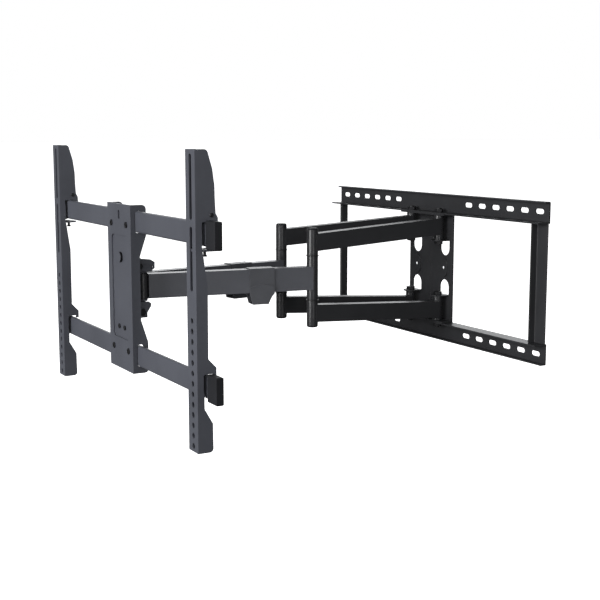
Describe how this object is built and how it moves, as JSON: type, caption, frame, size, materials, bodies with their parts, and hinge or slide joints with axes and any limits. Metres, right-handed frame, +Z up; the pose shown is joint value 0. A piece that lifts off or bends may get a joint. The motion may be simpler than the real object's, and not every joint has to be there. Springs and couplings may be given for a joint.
{
  "type": "full motion tv wall mount",
  "caption": "Wall mount for a television: a slotted wall frame, two folding arms, and a swivelling, tilting plate with rails and hooked screen brackets.",
  "frame": {"origin": "on the wall face, at the middle of the wall frame", "axes": "+X to the right as a viewer faces the wall, +Y into the wall, +Z up"},
  "size_m": [0.698, 0.6281, 0.427],
  "materials": {
    "frame_powder": "matt black powder coat on pressed steel",
    "arm_powder": "satin charcoal-black powder coat on steel tube",
    "plate_powder": "fine satin charcoal-black powder coat",
    "post_powder": "semi-gloss black on turned steel",
    "moulded_plastic": "fine-textured moulded black plastic",
    "clip_plastic": "fine-textured moulded plastic in the colour of the front arms",
    "bush_nylon": "black nylon",
    "dark_fastener": "black oxide on steel fasteners"
  },
  "bodies": {
    "wall_frame": {"wall_rail_top": "frame_powder", "wall_rail_bottom": "frame_powder", "side_bar_left": "frame_powder", "side_bar_right": "frame_powder", "base_plate": "frame_powder", "pivot_ears": "frame_powder", "pivot_bolts": "dark_fastener", "pivot_nuts": "dark_fastener"},
    "rear_arm_right": {"rear_tube_upper_right": "frame_powder", "rear_tube_lower_right": "frame_powder", "wall_knuckles_right": "post_powder", "wall_bushes_right": "bush_nylon", "elbow_sleeves_right": "post_powder", "elbow_pin_right": "post_powder", "elbow_washers_right": "bush_nylon", "elbow_caps_right": "moulded_plastic"},
    "front_arm_right": {"front_tube_right": "arm_powder", "elbow_barrel_right": "post_powder", "elbow_bush_right": "bush_nylon", "hub_knuckle_right": "post_powder", "cable_clip_right": "clip_plastic"},
    "rear_arm_left": {"rear_tube_upper_left": "frame_powder", "rear_tube_lower_left": "frame_powder", "wall_knuckles_left": "post_powder", "wall_bushes_left": "bush_nylon", "elbow_sleeves_left": "post_powder", "elbow_pin_left": "post_powder", "elbow_washers_left": "bush_nylon", "elbow_caps_left": "moulded_plastic"},
    "front_arm_left": {"front_tube_left": "arm_powder", "elbow_barrel_left": "post_powder", "elbow_bush_left": "bush_nylon", "hub_knuckle_left": "post_powder", "cable_clip_left": "clip_plastic"},
    "hub": {"hub_bracket": "plate_powder", "hub_pins": "dark_fastener"},
    "swivel_head": {"swivel_yoke": "plate_powder", "king_pin": "dark_fastener", "tilt_pivot_bolt": "dark_fastener", "tilt_pivot_nut": "dark_fastener", "tilt_lock_bolt": "dark_fastener", "tilt_lock_nut": "dark_fastener"},
    "tilt_frame": {"tilt_frame": "plate_powder", "level_pivot": "plate_powder"},
    "screen_plate": {"centre_plate": "plate_powder", "level_screws": "dark_fastener", "tv_rail_top": "plate_powder", "tv_rail_bottom": "plate_powder", "end_cap_top_right": "moulded_plastic", "end_cap_top_left": "moulded_plastic", "end_cap_bottom_right": "moulded_plastic", "end_cap_bottom_left": "moulded_plastic", "rail_spacers": "plate_powder", "rail_bolts": "dark_fastener"},
    "tv_bracket_right": {"tv_bracket_right": "plate_powder"},
    "safety_screw_right": {"safety_screw_right": "dark_fastener"},
    "tv_bracket_left": {"tv_bracket_left": "plate_powder"},
    "safety_screw_left": {"safety_screw_left": "dark_fastener"}
  },
  "joints": [
    {"name": "fold", "type": "hinge", "parent": "wall_frame", "child": "rear_arm_right", "pos_m": [0.0435, -0.0175, 0], "axis": [0, 0, 1], "range_deg": [-2.5, 45]},
    {"name": "rear_left_follow", "type": "hinge", "parent": "wall_frame", "child": "rear_arm_left", "pos_m": [-0.0435, -0.0175, 0], "axis": [0, 0, 1], "range_deg": [-46, 3.5]},
    {"name": "elbow_right_follow", "type": "hinge", "parent": "rear_arm_right", "child": "front_arm_right", "pos_m": [0.056, -0.2929, 0], "axis": [0, 0, 1], "range_deg": [-90, 6]},
    {"name": "elbow_left_follow", "type": "hinge", "parent": "rear_arm_left", "child": "front_arm_left", "pos_m": [-0.056, -0.2929, 0], "axis": [0, 0, 1], "range_deg": [-6, 90]},
    {"name": "hub_follow", "type": "hinge", "parent": "front_arm_right", "child": "hub", "pos_m": [0.012, -0.5875, 0], "axis": [0, 0, 1], "range_deg": [-4, 45]},
    {"name": "swivel", "type": "hinge", "parent": "hub", "child": "swivel_head", "pos_m": [0, -0.6, 0], "axis": [0, 0, 1], "range_deg": [-30, 30]},
    {"name": "tilt", "type": "hinge", "parent": "swivel_head", "child": "tilt_frame", "pos_m": [0, -0.597, -0.04], "axis": [-1, 0, 0], "range_deg": [-15, 5]},
    {"name": "level", "type": "hinge", "parent": "tilt_frame", "child": "screen_plate", "pos_m": [0, -0.6165, 0.048], "axis": [0, 1, 0], "range_deg": [-3, 3]},
    {"name": "bracket_right_slide", "type": "slide", "parent": "screen_plate", "child": "tv_bracket_right", "axis": [1, 0, 0], "range_m": [-0.2, 0.003]},
    {"name": "bracket_left_slide", "type": "slide", "parent": "screen_plate", "child": "tv_bracket_left", "axis": [-1, 0, 0], "range_m": [-0.2, 0.003]},
    {"name": "safety_screw_right_travel", "type": "slide", "parent": "tv_bracket_right", "child": "safety_screw_right", "axis": [0, 0, 1], "range_m": [-0.004, 0.002]},
    {"name": "safety_screw_left_travel", "type": "slide", "parent": "tv_bracket_left", "child": "safety_screw_left", "axis": [0, 0, 1], "range_m": [-0.004, 0.002]}
  ],
  "couplings": [
    {"joint": "rear_left_follow", "follows": "fold", "ratio": -1},
    {"joint": "elbow_right_follow", "follows": "fold", "ratio": -1.96},
    {"joint": "elbow_left_follow", "follows": "fold", "ratio": 1.96},
    {"joint": "hub_follow", "follows": "fold", "ratio": 0.96}
  ]
}
